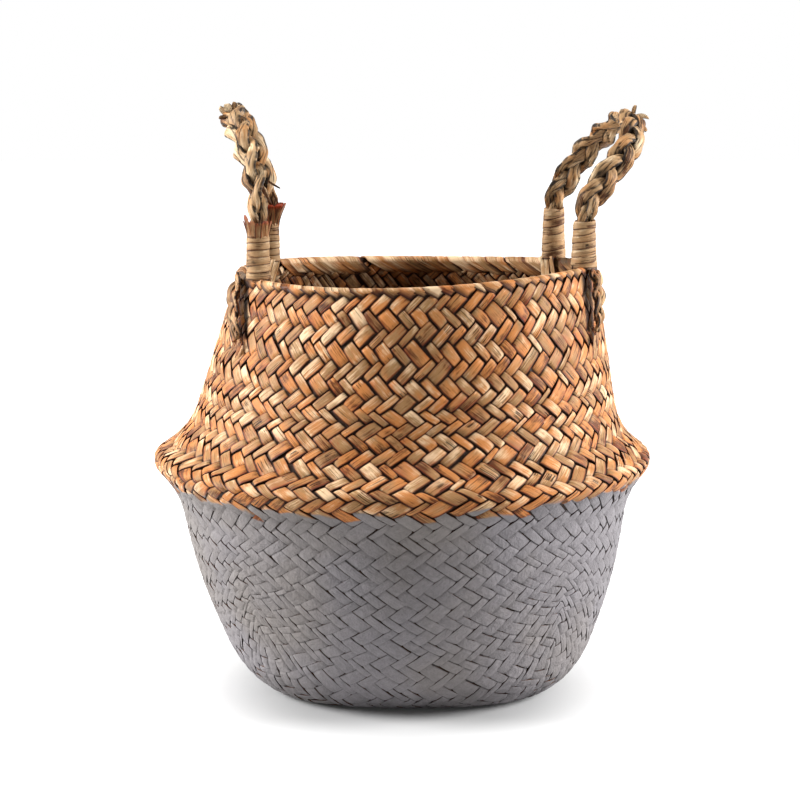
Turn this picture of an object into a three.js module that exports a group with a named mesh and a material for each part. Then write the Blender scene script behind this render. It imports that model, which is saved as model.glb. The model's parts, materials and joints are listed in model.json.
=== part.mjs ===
// A plaited belly basket with two looped handles, for use as a planter.
// Millimetres, +Z up. The origin is on the ground under the middle of the belly.
// +X is towards the right handle and +Y towards the back.

import * as THREE from "three";

// Body heights above the ground
const BODY_HEIGHT = 225.5;
const BELLY_HEIGHT = 125;
const PAINT_HEIGHT = 113.5;
const FLOOR_SEAM_HEIGHT = 12;
const FOOT_HEIGHT = 28;

// Body radii to the outside of the plaiting
const FLOOR_RADIUS = 85;
const FOOT_RADIUS = 107;
const BELLY_RADIUS = 140;
const RIM_RADIUS = 99;

// The flares below and above the belly crease: how far they come in, and over what height
const LOWER_FLARE_IN = 15;
const LOWER_FLARE_HEIGHT = 27;
const UPPER_FLARE_IN = 24;
const UPPER_FLARE_HEIGHT = 33;
const CREASE_ROUND = 4;

// How far each bend swells past its straight line
const FOOT_SWELL = 3.6;
const SIDE_SWELL = 3.8;
const LOWER_FLARE_HOLLOW = 3.2;
const SHOULDER_HOLLOW = 4.4;

// Plaiting and border
const WALL = 4;
const BORDER_HEIGHT = 6;
const BORDER_PROUD = 0.8;
const BORDER_ROUND = 1.5;
const SEAM_GAP = 0.3;

// How this soft basket stands: it leans a little, its base is a soft square,
// and its rim is pulled up at the handles and a little at the front
const BASE_SHIFT = 5;
const RIM_SHIFT = 8.3;
const BASE_SQUARENESS = 0.045;
const SQUARE_HEIGHT = 70;
const RIM_RISE = 2.8;
const RIM_TILT = 2;
const RIM_FRONT_LIFT = 0.9;
const RIM_SIDE_LIFT = 3.2;
const RIM_TWIST = 1.2;

// Handles: where their legs stand on the rim, and the loop between them
const LEFT_AZIMUTH = 180;
const RIGHT_AZIMUTH = 6;
const LEG_HALF_SPREAD = 29;
const LOOP_HEIGHT = 58.5;
const LEFT_LEAN = 2;
const RIGHT_LEAN = 26;
const LEFT_CURL = 15;
const RIGHT_CURL = 9;

// Legs and the lashings wound round them
const LEG_HEIGHT = 22.5;
const LEG_HALF_WIDTH = 5;
const LEG_HALF_DEPTH = 3.8;
const STRIP_WIDTH = 3.2;
const STRIP_THICKNESS = 1.1;
const LASHING_TURNS = 5;
const STRIP_GAP = 0.5;

// The plait: three flat strands that change places
const PLAIT_PERIODS = 5;
const PLAIT_HALF_SWING = 4.7;
const PLAIT_HALF_LIFT = 2.7;
const STRAND_HALF_WIDTH = 2.15;
const STRAND_HALF_THICKNESS = 1.7;
const STRAND_COUNT = 3;
const TURN_CLEARANCE = 0.4;
const FOOT_BELOW_HINGE = 2;

// Plait tails outside the wall, and strip ends inside the mouth
const TAIL_LENGTH = 36;
const TAIL_HALF_WIDTH = 5.6;
const TAIL_HALF_THICKNESS = 2.4;
const TAIL_TAPER = 0.4;
const LEFT_TAIL_LEAD = 9;
const RIGHT_TAIL_LEAD = 0;
const TAIL_FOOT_SPREAD = 4;
const ENDS_LENGTH = 26;
const ENDS_HALF_WIDTH = 5;
const ENDS_HALF_THICKNESS = 1.2;
const ENDS_TAPER = 0.2;
const TOP_SETBACK = 0.4;

// Facets
const AROUND_BODY = 40;
const AROUND_STRAND = 6;
const STEPS_PER_LOOP = 24;
const STEPS_PER_PERIOD = 10;
const STEPS_PER_TAIL = 6;
const AROUND_LEG = 12;
const SHORTEST_FACET = 0.5;

const radians = THREE.MathUtils.degToRad;

// Finishes
const finish = (color, roughness) => new THREE.MeshStandardMaterial({ color, roughness, metalness: 0 });
const naturalLeaf = () => finish(0xbe8c5f, 0.62);
const greyPaint = () => finish(0x807e82, 0.9);
const strawLeaf = () => finish(0xc8a982, 0.58);
const darkLeaf = () => finish(0x9a7650, 0.65);

// Outline of the wall, as points of radius and height
const point = (radius, height) => new THREE.Vector2(radius, height);

function bend(from, to, swell, steps) {
  const along = to.clone().sub(from);
  const outwards = point(along.y, -along.x).normalize();
  const control = from.clone().add(to).multiplyScalar(0.5).addScaledVector(outwards, 2 * swell);
  return new THREE.QuadraticBezierCurve(from, control, to).getPoints(steps).slice(1);
}

function outerOutline() {
  const floorEdge = point(FLOOR_RADIUS, 0);
  const footTop = point(FOOT_RADIUS, FOOT_HEIGHT);
  const flareStart = point(BELLY_RADIUS - LOWER_FLARE_IN, BELLY_HEIGHT - LOWER_FLARE_HEIGHT);
  const creaseBelow = point(BELLY_RADIUS - CREASE_ROUND / 2, BELLY_HEIGHT - CREASE_ROUND);
  const crease = point(BELLY_RADIUS, BELLY_HEIGHT);
  const creaseAbove = point(BELLY_RADIUS - CREASE_ROUND / 2, BELLY_HEIGHT + CREASE_ROUND);
  const neckFoot = point(BELLY_RADIUS - UPPER_FLARE_IN, BELLY_HEIGHT + UPPER_FLARE_HEIGHT);
  const rim = point(RIM_RADIUS, BODY_HEIGHT);
  return [
    floorEdge,
    ...bend(floorEdge, footTop, FOOT_SWELL, 4),
    ...bend(footTop, flareStart, SIDE_SWELL / 2, 3),
    ...bend(flareStart, creaseBelow, -LOWER_FLARE_HOLLOW / 2, 3),
    crease,
    creaseAbove,
    ...bend(creaseAbove, neckFoot, -SHOULDER_HOLLOW, 5),
    ...bend(neckFoot, rim, 0, 3),
  ];
}

// The inside of the wall runs parallel to the outside
function parallelInside(outline, thickness) {
  return outline.map((here, i) => {
    const before = outline[Math.max(i - 1, 0)];
    const after = outline[Math.min(i + 1, outline.length - 1)];
    const along = after.clone().sub(before).normalize();
    return here.clone().add(point(-along.y, along.x).multiplyScalar(thickness));
  });
}

function radiusAt(outline, height) {
  const next = Math.max(outline.findIndex((p) => p.y > height), 1);
  const top = height >= outline[outline.length - 1].y ? outline.length - 1 : next;
  const low = outline[top - 1];
  const high = outline[top];
  return low.x + ((high.x - low.x) * (height - low.y)) / (high.y - low.y);
}

function between(outline, low, high) {
  const inner = outline.filter((p) => p.y > low + SHORTEST_FACET && p.y < high - SHORTEST_FACET);
  return [point(radiusAt(outline, low), low), ...inner, point(radiusAt(outline, high), high)];
}

const outside = outerOutline();
const inside = parallelInside(outside, WALL);
const outsideRadius = (height) => radiusAt(outside, height);

// How the soft basket stands: from a place on the true round to its place in the real one
function settle(place) {
  const above = Math.max(0, (place.z - BELLY_HEIGHT) / (BODY_HEIGHT - BELLY_HEIGHT));
  const below = Math.max(0, 1 - place.z / BELLY_HEIGHT);
  const square = Math.max(0, 1 - place.z / SQUARE_HEIGHT) ** 2;
  const azimuth = Math.atan2(place.y, place.x);
  const spread = 1 - BASE_SQUARENESS * square * Math.cos(4 * azimuth);
  const sideways = RIM_TILT * Math.cos(azimuth) + RIM_SIDE_LIFT * Math.cos(azimuth) ** 2;
  const forwards = RIM_FRONT_LIFT * Math.sin(azimuth) + RIM_TWIST * Math.sin(2 * azimuth);
  const lift = RIM_RISE + sideways - forwards;
  place.x = place.x * spread + BASE_SHIFT * below + RIM_SHIFT * above;
  place.y = place.y * spread;
  place.z = place.z + lift * above ** 2;
  return place;
}

function onRound(radius, azimuth, height) {
  return new THREE.Vector3(radius * Math.cos(azimuth), radius * Math.sin(azimuth), height);
}

// A closed ring or dish turned from an outline, then settled
function turned(outline) {
  const geometry = new THREE.LatheGeometry(outline, AROUND_BODY).rotateX(Math.PI / 2);
  const places = geometry.attributes.position;
  const place = new THREE.Vector3();
  for (let i = 0; i < places.count; i += 1) {
    settle(place.fromBufferAttribute(places, i));
    places.setXYZ(i, place.x, place.y, place.z);
  }
  return geometry;
}

// A closed bar through a row of rings of points
function bar(rings) {
  const sides = rings[0].length;
  const last = rings.length - 1;
  const positions = rings.flat().flatMap((p) => [p.x, p.y, p.z]);
  const faces = [];
  for (let i = 0; i < last; i += 1) {
    for (let j = 0; j < sides; j += 1) {
      const a = i * sides + j;
      const b = i * sides + ((j + 1) % sides);
      faces.push(a, b, b + sides, a, b + sides, a + sides);
    }
  }
  for (let j = 1; j < sides - 1; j += 1) {
    faces.push(0, j + 1, j);
    faces.push(last * sides, last * sides + j, last * sides + j + 1);
  }
  const geometry = new THREE.BufferGeometry();
  geometry.setAttribute("position", new THREE.Float32BufferAttribute(positions, 3));
  geometry.setIndex(faces);
  return geometry;
}

// One oval ring of points; across, through and the bar's direction make a right-handed set
function ovalRing(centre, across, through, halfWidth, halfThickness, sides) {
  return Array.from({ length: sides }, (_, j) => {
    const angle = (2 * Math.PI * j) / sides;
    return centre
      .clone()
      .addScaledVector(across, halfWidth * Math.cos(angle))
      .addScaledVector(through, halfThickness * Math.sin(angle));
  });
}

function named(name, geometry, material) {
  const mesh = new THREE.Mesh(geometry, material);
  mesh.name = name;
  return mesh;
}

// Wall, base and border
function closedLoop(outer, inner) {
  return [...outer, ...inner.reverse(), outer[0].clone()];
}

function baseMat() {
  const outer = between(outside, 0, FLOOR_SEAM_HEIGHT);
  const inner = between(inside, WALL, FLOOR_SEAM_HEIGHT).reverse();
  return named("base_mat", turned([point(0, 0), ...outer, ...inner, point(0, WALL)]), greyPaint());
}

function wallBand(name, low, high, material) {
  const loop = closedLoop(between(outside, low, high), between(inside, low, high));
  return named(name, turned(loop), material);
}

function rimBorder() {
  const low = BODY_HEIGHT - BORDER_HEIGHT;
  const outer = [
    point(outsideRadius(low), low),
    point(outsideRadius(low) + BORDER_PROUD, low + BORDER_ROUND),
    point(RIM_RADIUS + BORDER_PROUD, BODY_HEIGHT - BORDER_ROUND),
    point(RIM_RADIUS, BODY_HEIGHT),
  ];
  const inner = [
    point(outsideRadius(low) - WALL, low),
    point(outsideRadius(low) - WALL - BORDER_PROUD, low + BORDER_ROUND),
    point(RIM_RADIUS - WALL - BORDER_PROUD, BODY_HEIGHT - BORDER_ROUND),
    point(RIM_RADIUS - WALL, BODY_HEIGHT),
  ];
  return named("rim_border", turned(closedLoop(outer, inner)), naturalLeaf());
}

// Where the legs of a handle stand
const LEG_CIRCLE = RIM_RADIUS - WALL / 2;
const LOOP_HALF_SPAN = LEG_CIRCLE * Math.sin(radians(LEG_HALF_SPREAD));
const WIDEST_FOOT = PLAIT_HALF_SWING * Math.sin((2 * Math.PI) / STRAND_COUNT) + STRAND_HALF_WIDTH;
const HINGE_RADIUS = Math.hypot(WIDEST_FOOT, FOOT_BELOW_HINGE);

function rimHeightUnder(azimuth) {
  const reach = LEG_HALF_DEPTH / LEG_CIRCLE;
  const heightAt = (place) => settle(onRound(LEG_CIRCLE, place, BODY_HEIGHT)).z;
  return Math.max(heightAt(azimuth - reach), heightAt(azimuth), heightAt(azimuth + reach));
}

function handlePlaces(side) {
  const middle = radians(side.azimuth);
  const spread = radians(LEG_HALF_SPREAD);
  const legs = [
    { name: `${side.name}_front`, azimuth: side.frontIsFirst ? middle - spread : middle + spread },
    { name: `${side.name}_back`, azimuth: side.frontIsFirst ? middle + spread : middle - spread },
  ];
  for (const leg of legs) {
    leg.foot = settle(onRound(LEG_CIRCLE, leg.azimuth, BODY_HEIGHT));
    leg.foot.z = rimHeightUnder(leg.azimuth) + SEAM_GAP;
  }
  const top = Math.max(...legs.map((leg) => leg.foot.z)) + LEG_HEIGHT;
  const hinge = legs[0].foot.clone().add(legs[1].foot).multiplyScalar(0.5);
  hinge.z = top + TURN_CLEARANCE + HINGE_RADIUS;
  return { legs, top, hinge };
}

// A leg and its lashing stand upright, turned with the handle
function legFrame(leg, side) {
  const frame = new THREE.Group();
  frame.position.copy(leg.foot);
  frame.rotation.z = radians(side.azimuth);
  return frame;
}

const ACROSS = new THREE.Vector3(1, 0, 0);
const SIDEWAYS = new THREE.Vector3(0, 1, 0);
const UP = new THREE.Vector3(0, 0, 1);

function legCore(leg, height) {
  const waist = [0, 0.5, 1].map((share) => {
    const centre = UP.clone().multiplyScalar(share * height);
    return ovalRing(centre, ACROSS, SIDEWAYS, LEG_HALF_WIDTH, LEG_HALF_DEPTH, AROUND_LEG);
  });
  return named(`${leg.name}_leg`, bar(waist), darkLeaf());
}

// The lashing climbs one strip and one gap for each turn, and its ends run straight out
function lashingRings(height) {
  const pitch = STRIP_WIDTH + STRIP_GAP;
  const climb = LASHING_TURNS * pitch;
  const start = (height - climb) / 2;
  const halfAcross = LEG_HALF_WIDTH + SEAM_GAP + STRIP_THICKNESS / 2;
  const halfThrough = LEG_HALF_DEPTH + SEAM_GAP + STRIP_THICKNESS / 2;
  const ring = (angle, ahead) => {
    const [cos, sin] = [Math.cos(angle), Math.sin(angle)];
    const centre = new THREE.Vector3(halfAcross * cos, halfThrough * sin, 0);
    const along = new THREE.Vector3(-halfAcross * sin, halfThrough * cos, 0).normalize();
    centre.z = start + (pitch * angle) / (2 * Math.PI);
    centre.addScaledVector(along, ahead);
    const outwards = along.clone().cross(UP);
    return ovalRing(centre, UP, outwards, STRIP_WIDTH / 2, STRIP_THICKNESS / 2, AROUND_STRAND);
  };
  const steps = LASHING_TURNS * STEPS_PER_LOOP;
  const rings = [ring(0, -STRIP_WIDTH)];
  for (let i = 0; i <= steps; i += 1) {
    rings.push(ring((2 * Math.PI * i) / STEPS_PER_LOOP, 0));
  }
  rings.push(ring(2 * Math.PI * LASHING_TURNS, STRIP_WIDTH));
  return rings;
}

function leastGap(rings, apart) {
  let least = Infinity;
  for (let i = 0; i + apart < rings.length; i += 1) {
    for (let j = i + apart; j < rings.length; j += 1) {
      for (const a of rings[i]) {
        for (const b of rings[j]) {
          least = Math.min(least, a.distanceTo(b));
        }
      }
    }
  }
  return least;
}

function lashing(leg, height) {
  const rings = lashingRings(height);
  const gap = leastGap(rings, STEPS_PER_LOOP / 2);
  console.log(`${leg.name}_lashing: least gap to itself ${gap.toFixed(2)} mm`);
  return named(`${leg.name}_lashing`, bar(rings), strawLeaf());
}

// A flat bundle that lies against the wall, outside it or inside it
function wallBundle(lie) {
  const rings = [];
  for (let i = 0; i <= STEPS_PER_TAIL; i += 1) {
    const share = i / STEPS_PER_TAIL;
    const height = BODY_HEIGHT - TOP_SETBACK - lie.length * share;
    const azimuth = lie.azimuth + lie.topDrift * (1 - share) + lie.footDrift * share;
    const centre = onRound(outsideRadius(height) + lie.offset, azimuth, height);
    const outwards = onRound(1, azimuth, 0);
    const tangent = UP.clone().cross(outwards);
    const halfWidth = lie.halfWidth * (1 - lie.taper * share ** 2);
    const ring = ovalRing(centre, tangent, outwards, halfWidth, lie.halfThickness, AROUND_STRAND);
    rings.push(ring.map(settle));
  }
  return bar(rings);
}

function tail(leg, side) {
  const towardsMiddle = Math.sign(radians(side.azimuth) - leg.azimuth);
  const geometry = wallBundle({
    azimuth: leg.azimuth,
    topDrift: towardsMiddle * radians(side.tailLead),
    footDrift: -towardsMiddle * radians(TAIL_FOOT_SPREAD),
    length: TAIL_LENGTH,
    offset: BORDER_PROUD + SEAM_GAP + TAIL_HALF_THICKNESS,
    halfThickness: TAIL_HALF_THICKNESS,
    halfWidth: TAIL_HALF_WIDTH,
    taper: TAIL_TAPER,
  });
  return named(`${leg.name}_tail`, geometry, darkLeaf());
}

// A flat bundle inside a hollow faceted ring stands off by the sag of a facet and of its own width
function hollowSag(radius, halfWidth) {
  return radius * (1 - Math.cos(Math.PI / AROUND_BODY)) + halfWidth ** 2 / (2 * radius);
}

function innerEnds(leg) {
  const sag = hollowSag(RIM_RADIUS - WALL, ENDS_HALF_WIDTH);
  const geometry = wallBundle({
    azimuth: leg.azimuth,
    topDrift: 0,
    footDrift: 0,
    length: ENDS_LENGTH,
    offset: -WALL - BORDER_PROUD - SEAM_GAP - sag - ENDS_HALF_THICKNESS,
    halfThickness: ENDS_HALF_THICKNESS,
    halfWidth: ENDS_HALF_WIDTH,
    taper: ENDS_TAPER,
  });
  return named(`${leg.name}_inner_ends`, geometry, strawLeaf());
}

// The loop that the plait follows, in the handle's own frame: +Z up the loop, +X outwards
function loopPlace(share, side) {
  const angle = Math.PI * share;
  const rise = Math.sin(angle);
  return new THREE.Vector3(side.curl * rise ** 2, -LOOP_HALF_SPAN * Math.cos(angle), LOOP_HEIGHT * rise);
}

function loopFrame(share, side) {
  const nudge = 0.001;
  const before = loopPlace(share - nudge, side);
  const along = loopPlace(share + nudge, side).sub(before).normalize();
  const across = ACROSS.clone().addScaledVector(along, -along.x).normalize();
  return { centre: loopPlace(share, side), across, through: along.clone().cross(across) };
}

function strandPlace(share, phase, side) {
  const turn = 2 * Math.PI * PLAIT_PERIODS * share + phase;
  const frame = loopFrame(share, side);
  return frame.centre
    .addScaledVector(frame.across, PLAIT_HALF_SWING * Math.sin(turn))
    .addScaledVector(frame.through, PLAIT_HALF_LIFT * Math.sin(2 * turn));
}

// Each strand ends inside the round of the hinge, so that its foot turns clear of the leg
function strandRings(phase, side) {
  const steps = PLAIT_PERIODS * STEPS_PER_PERIOD;
  const reach = Math.abs(PLAIT_HALF_SWING * Math.sin(phase)) + STRAND_HALF_WIDTH;
  const drop = Math.sqrt(HINGE_RADIUS ** 2 - reach ** 2);
  const places = Array.from({ length: steps + 1 }, (_, i) => strandPlace(i / steps, phase, side));
  places.unshift(places[0].clone().addScaledVector(UP, -drop));
  places.push(places[places.length - 1].clone().addScaledVector(UP, -drop));
  const last = places.length - 1;
  return places.map((centre, i) => {
    const share = THREE.MathUtils.clamp((i - 1) / steps, 0, 1);
    const along = places[Math.min(i + 1, last)].clone().sub(places[Math.max(i - 1, 0)]).normalize();
    if (i === 0) along.copy(UP);
    if (i === last) along.copy(UP).negate();
    const wide = loopFrame(share, side).across;
    const across = wide.clone().addScaledVector(along, -wide.dot(along)).normalize();
    const through = along.clone().cross(across);
    return ovalRing(centre, across, through, STRAND_HALF_WIDTH, STRAND_HALF_THICKNESS, AROUND_STRAND);
  });
}

function plait(side, hinge) {
  const handle = new THREE.Group();
  handle.name = `${side.name}_handle`;
  handle.position.copy(hinge);
  handle.rotation.set(0, radians(side.lean), radians(side.azimuth), "ZYX");
  for (let k = 0; k < STRAND_COUNT; k += 1) {
    const rings = strandRings((2 * Math.PI * k) / STRAND_COUNT, side);
    handle.add(named(`${side.name}_plait_strand_${k + 1}`, bar(rings), strawLeaf()));
  }
  return handle;
}

// The whole basket
const sides = [
  {
    name: "left",
    azimuth: LEFT_AZIMUTH,
    lean: LEFT_LEAN,
    curl: LEFT_CURL,
    tailLead: LEFT_TAIL_LEAD,
    frontIsFirst: false,
  },
  {
    name: "right",
    azimuth: RIGHT_AZIMUTH,
    lean: RIGHT_LEAN,
    curl: RIGHT_CURL,
    tailLead: RIGHT_TAIL_LEAD,
    frontIsFirst: true,
  },
];

const basket = new THREE.Group();
basket.name = "belly_basket";
basket.add(baseMat());
basket.add(wallBand("lower_wall", FLOOR_SEAM_HEIGHT + SEAM_GAP, PAINT_HEIGHT - SEAM_GAP / 2, greyPaint()));
const wallTop = BODY_HEIGHT - BORDER_HEIGHT - SEAM_GAP;
basket.add(wallBand("upper_wall", PAINT_HEIGHT + SEAM_GAP / 2, wallTop, naturalLeaf()));
basket.add(rimBorder());
for (const side of sides) {
  const { legs, top, hinge } = handlePlaces(side);
  for (const leg of legs) {
    const frame = legFrame(leg, side);
    const height = top - leg.foot.z;
    frame.add(legCore(leg, height));
    frame.add(lashing(leg, height));
    basket.add(frame);
    basket.add(tail(leg, side));
    basket.add(innerEnds(leg));
  }
  basket.add(plait(side, hinge));
}

export default basket;
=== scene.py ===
import json
import math

import bpy
import numpy as np
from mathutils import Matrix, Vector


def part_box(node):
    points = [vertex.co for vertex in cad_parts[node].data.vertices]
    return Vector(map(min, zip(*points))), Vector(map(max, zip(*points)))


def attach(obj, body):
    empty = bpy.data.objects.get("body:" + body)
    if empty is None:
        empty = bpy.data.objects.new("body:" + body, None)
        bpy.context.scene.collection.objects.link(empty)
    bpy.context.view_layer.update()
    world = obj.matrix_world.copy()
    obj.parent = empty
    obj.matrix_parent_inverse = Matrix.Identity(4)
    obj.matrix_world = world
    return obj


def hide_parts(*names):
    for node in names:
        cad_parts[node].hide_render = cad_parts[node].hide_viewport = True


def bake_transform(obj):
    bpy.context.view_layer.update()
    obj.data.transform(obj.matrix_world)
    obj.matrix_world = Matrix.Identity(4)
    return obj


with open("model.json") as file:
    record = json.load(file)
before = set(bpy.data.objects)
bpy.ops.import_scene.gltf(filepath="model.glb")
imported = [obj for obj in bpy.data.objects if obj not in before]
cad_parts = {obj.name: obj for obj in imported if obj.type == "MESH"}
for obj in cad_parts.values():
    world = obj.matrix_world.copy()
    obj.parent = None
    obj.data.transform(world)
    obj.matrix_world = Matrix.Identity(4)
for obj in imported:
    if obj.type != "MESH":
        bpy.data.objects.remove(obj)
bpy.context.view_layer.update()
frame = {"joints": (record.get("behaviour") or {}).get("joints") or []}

# Sizes are in millimetres, as in the part's source, and become metres when a mesh is made.
MM = 0.001

# The basket's outline runs from the middle of its floor to its rim. Each bend ends at a radius and a height,
# and swells by so much on its way there.
BODY_HEIGHT, BELLY_HEIGHT, PAINT_HEIGHT = 225.5, 125.0, 113.5
FLOOR_RADIUS = 85.0
OUTLINE_BENDS = (
    (107.0, 28.0, 3.6), (125.0, 98.0, 1.9), (138.0, 121.0, -1.6), (140.0, BELLY_HEIGHT, 0.0),
    (138.0, 129.0, 0.0), (116.0, 158.0, -4.4), (99.0, BODY_HEIGHT, 0.0),
)
OUTLINE_STEP = 0.5
OUTLINE_SOFTNESS = 2.6
HALF_WALL = 2.0

# How the soft basket stands: it leans, its base is a soft square, and its rim is pulled up at the handles
BASE_SHIFT, RIM_SHIFT = 5.0, 8.3
BASE_SQUARENESS, SQUARE_HEIGHT = 0.045, 70.0
RIM_RISE, RIM_TILT, RIM_FRONT_LIFT, RIM_SIDE_LIFT, RIM_TWIST = 2.8, 2.0, 0.9, 3.2, 1.2

# The weave: strips lie each way in a square floor mat, and their ends climb the wall on the slant. A place in
# it is counted in strips, and its level in crossings above the edge of the mat.
MAT_HALF = 20
STRIPS_ROUND = 4 * MAT_HALF
ROUNDING_LEVELS = 26.0
UNEVENNESS = 0.3

# Where the rows lie up the middle of the wall: the level, and the way along the wall from the floor's middle.
# A scratch program turned the heights of the rows on the photograph into these ways, then evened by hand.
LEVEL_ARCS = (
    (0, 90.0), (4.5, 112.3), (8.5, 127.3), (12.5, 141.9), (16.5, 157.0), (20.5, 172.6), (24.5, 187.9),
    (28.5, 203.2), (32.5, 220.3), (34.5, 228.9), (36.5, 237.1), (38.5, 245.5), (40.5, 253.4),
    (42.5, 260.8), (44.5, 267.3), (46.5, 273.4), (48.5, 280.0), (50.5, 288.0), (52.5, 296.3),
    (54.5, 305.0), (56.5, 313.9), (58.5, 322.2), (60.5, 329.7), (62.5, 337.0), (64.0, 342.6),
)
MAT_PITCH = LEVEL_ARCS[0][1] * math.sqrt(2) / MAT_HALF
LEVEL_STEP = 0.25
LEVEL_SOFTNESS = 5

# The handles: azimuth, lean and curl are as in the part's source, and lead is how far round from the legs the
# tails start. In its loop, which has that height, the plait bows outwards at the front and is rolled.
LEG_HALF_SPREAD = 29.0
HANDLES = {
    "left": {
        "azimuth": 180.0, "lean": 2.0, "curl": 15.0, "lead": 9.0, "height": 55.0, "bow": -1.0, "roll": 45.0,
    },
    "right": {
        "azimuth": 6.0, "lean": 26.0, "curl": 9.0, "lead": 0.0, "height": 57.5, "bow": 4.5, "roll": 0.0,
    },
}


def soft_step(low, high, value):
    share = np.clip((np.asarray(value, float) - low) / (high - low), 0, 1)
    return share * share * (3 - 2 * share)


def unit(vectors):
    return vectors / np.linalg.norm(vectors, axis=-1, keepdims=True)


def along_path(points):
    """How far along a path each of its points lies."""
    return np.r_[0, np.cumsum(np.linalg.norm(np.diff(points, axis=0), axis=1))]


def smoothed(values, reach):
    """A row of values, softened over reach samples, with its two ends kept."""
    half = int(4 * reach)
    weights = np.exp(-0.5 * (np.arange(-half, half + 1) / reach) ** 2)
    weights /= weights.sum()
    before = 2 * values[0] - values[half:0:-1]
    after = 2 * values[-1] - values[-2:-half - 2:-1]
    return np.convolve(np.concatenate([before, values, after]), weights, mode="valid")


def seeded(name, number=0):
    """The random draws of one piece of a handle, the same in each run."""
    return np.random.RandomState(sum(map(ord, name)) + number)


def outline():
    """The soft outline: for each step of the way out, its arc, radius, height and outward direction."""
    points = [np.linspace([0, 0], [FLOOR_RADIUS, 0], 60)]
    last = np.array([FLOOR_RADIUS, 0.0])
    for radius, height, swell in OUTLINE_BENDS:
        here = np.array([radius, height])
        along = here - last
        out = unit(np.array([along[1], -along[0]]))
        middle = (last + here) / 2 + 2 * swell * out
        t = np.linspace(0, 1, 40)[1:, None]
        points.append((1 - t) ** 2 * last + 2 * t * (1 - t) * middle + t ** 2 * here)
        last = here
    points = np.concatenate(points)
    arcs = along_path(points)
    grid = np.arange(0, arcs[-1] + OUTLINE_STEP / 2, OUTLINE_STEP)
    reach = OUTLINE_SOFTNESS / OUTLINE_STEP
    radius, height = (smoothed(np.interp(grid, arcs, column), reach) for column in points.T)
    towards = unit(np.stack([np.gradient(radius), np.gradient(height)], -1))
    return grid, radius, height, towards[:, 1], -towards[:, 0]


ARCS, RADII, HEIGHTS, OUT_R, OUT_Z = outline()
RIM_ARC = ARCS[-1]


def settle(x, y, z):
    """Moves a point of the even round basket to where it lies on this soft one."""
    azimuth = np.arctan2(y, x)
    above = np.maximum(0, (z - BELLY_HEIGHT) / (BODY_HEIGHT - BELLY_HEIGHT))
    below = np.maximum(0, 1 - z / BELLY_HEIGHT)
    square = np.clip(1 - z / SQUARE_HEIGHT, 0, 1) ** 2
    spread = 1 - BASE_SQUARENESS * square * np.cos(4 * azimuth)
    sideways = RIM_TILT * np.cos(azimuth) + RIM_SIDE_LIFT * np.cos(azimuth) ** 2
    forwards = RIM_FRONT_LIFT * np.sin(azimuth) + RIM_TWIST * np.sin(2 * azimuth)
    lift = RIM_RISE + sideways - forwards
    return np.stack([
        x * spread + BASE_SHIFT * below + RIM_SHIFT * above,
        y * spread,
        z + lift * above ** 2,
    ], -1)


def on_wall(azimuth, arc, out):
    """A place on the wall: azimuth in degrees, arc from the floor's middle, out from the wall's middle."""
    inside = np.clip(arc, 0, RIM_ARC)
    beyond = arc - inside
    radius, height, out_r, out_z = (np.interp(inside, ARCS, row) for row in (RADII, HEIGHTS, OUT_R, OUT_Z))
    radius = radius + (out - HALF_WALL) * out_r - beyond * out_z
    height = height + (out - HALF_WALL) * out_z + beyond * out_r
    turn = np.radians(azimuth)
    return settle(radius * np.cos(turn), radius * np.sin(turn), height)


def wall_ways(azimuth, arc, out, step=1):
    """The way round the wall at a place, and the way out of it, or into the basket with a step of -1."""
    here = on_wall(azimuth, arc, out)
    return unit(on_wall(azimuth + 1, arc, out) - here), unit(on_wall(azimuth, arc, out + step) - here)


LEVELS = np.arange(0, LEVEL_ARCS[-1][0] + LEVEL_STEP / 2, LEVEL_STEP)
LEVEL_ARC = smoothed(np.interp(LEVELS, *zip(*LEVEL_ARCS)), LEVEL_SOFTNESS)


def uneven_lanes():
    """No two strips are cut to the same width: where the edge of each one lies, counted in mean strips."""
    chance = np.random.RandomState(33)
    lanes = {}
    for way in ("x", "y"):
        for sign in (1, -1):
            edges = np.arange(MAT_HALF + 1) + chance.uniform(-UNEVENNESS, UNEVENNESS, MAT_HALF + 1)
            edges[0], edges[-1] = 0, MAT_HALF
            lanes[way, sign] = edges
    return lanes


LANES = uneven_lanes()
RISING_LANES = [MAT_HALF - LANES[half][::-1] for half in (("x", 1), ("y", 1), ("x", -1), ("y", -1))]
FALLING_LANES = [LANES[half] for half in (("y", 1), ("x", -1), ("y", -1), ("x", 1))]


def unevenly(place, lanes):
    """Moves a place counted in even strips to where it lies among the uneven ones."""
    side = np.floor(place / MAT_HALF)
    part = place - MAT_HALF * side
    quarter = np.mod(side, 4).astype(int)
    moved = [np.interp(part, np.arange(MAT_HALF + 1), edges) for edges in lanes]
    return MAT_HALF * side + np.choose(quarter, moved)


def mat_quarter(x, y):
    return np.where(y >= 0, np.where(x >= 0, 0, 1), np.where(x < 0, 2, 3))


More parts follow.
